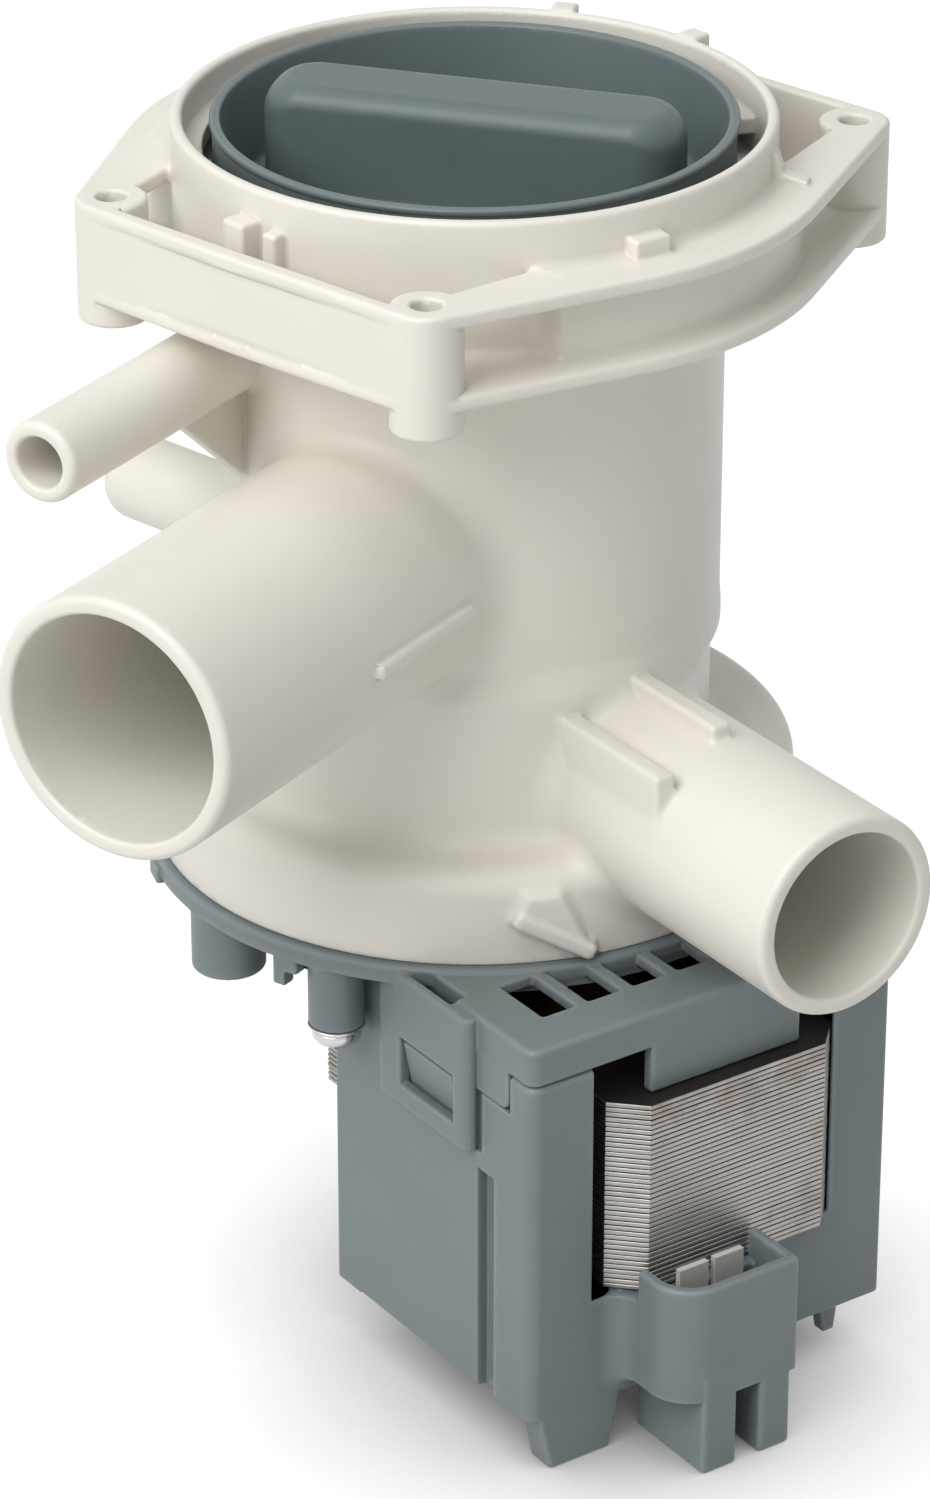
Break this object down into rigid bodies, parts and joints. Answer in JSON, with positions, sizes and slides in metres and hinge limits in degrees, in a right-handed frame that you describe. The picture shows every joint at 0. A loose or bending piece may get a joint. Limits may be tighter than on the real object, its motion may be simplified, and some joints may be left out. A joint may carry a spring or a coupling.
{
  "type": "washer drain pump",
  "caption": "Washing machine drain pump: moulded filter housing with flange, inlet, outlet and drain nozzle, bayonet filter cap, and a laminated-core motor below.",
  "frame": {"origin": "filter axis at the flange face, in the middle of the filter mouth", "axes": "+Z out of the filter mouth along the filter axis, X along the longer hole spacing, inlet towards -X"},
  "size_m": [0.118, 0.1106, 0.1485],
  "materials": {
    "white_plastic": "moulded off-white, soft sheen",
    "blue_grey_plastic": "moulded blue-grey, fine mottle, soft sheen",
    "cap_plastic": "moulded dark blue-grey, soft sheen",
    "strainer_plastic": "moulded blue-grey",
    "nylon": "moulded natural nylon",
    "seal_rubber": "soft black rubber",
    "core_steel": "stack of thin sheets, cut edges, a little rust",
    "bright_steel": "zinc-plated, bright",
    "ferrite": "dark sintered ferrite",
    "bronze": "sintered bronze",
    "copper_wire": "dark enamelled copper wire",
    "coil_plastic": "moulded black nylon",
    "fuse_case": "white moulded case"
  },
  "bodies": {
    "housing": {"pump_housing": "white_plastic", "upper_bush": "bronze", "lower_bush": "bronze", "bush_mount": "seal_rubber", "bearing_cap": "blue_grey_plastic", "bearing_seal": "seal_rubber", "flange_seal": "seal_rubber", "motor_flange": "blue_grey_plastic", "flange_screws": "bright_steel", "screw_washers": "bright_steel", "motor_cover": "blue_grey_plastic", "stator_core": "core_steel", "left_bobbin": "coil_plastic", "right_bobbin": "coil_plastic", "left_winding": "copper_wire", "right_winding": "copper_wire", "terminal_blades": "bright_steel", "thermal_fuse": "fuse_case"},
    "filter": {"strainer": "strainer_plastic"},
    "cap": {"filter_cap": "cap_plastic", "cap_seal": "seal_rubber", "strainer_clip": "bright_steel"},
    "rotor": {"rotor_shaft": "bright_steel", "magnet_hub": "nylon", "rotor_magnet": "ferrite", "upper_washer": "bright_steel", "lower_washer": "bright_steel", "drive_dog": "strainer_plastic"},
    "impeller": {"impeller": "nylon", "impeller_ring": "nylon"}
  },
  "joints": [
    {"name": "filter_pull", "type": "slide", "parent": "housing", "child": "filter", "axis": [0, 0, 1], "range_m": [0, 0.07]},
    {"name": "cap_turn", "type": "hinge", "parent": "filter", "child": "cap", "pos_m": [0, 0, 0], "axis": [0, 0, 1], "range_deg": [-60, 0]},
    {"name": "rotor_spin", "type": "hinge", "parent": "housing", "child": "rotor", "pos_m": [0, 0, -0.1], "axis": [0, 0, 1], "continuous": true},
    {"name": "impeller_play", "type": "hinge", "parent": "rotor", "child": "impeller", "pos_m": [0, 0, -0.07], "axis": [0, 0, 1], "range_deg": [-115, 115]}
  ]
}
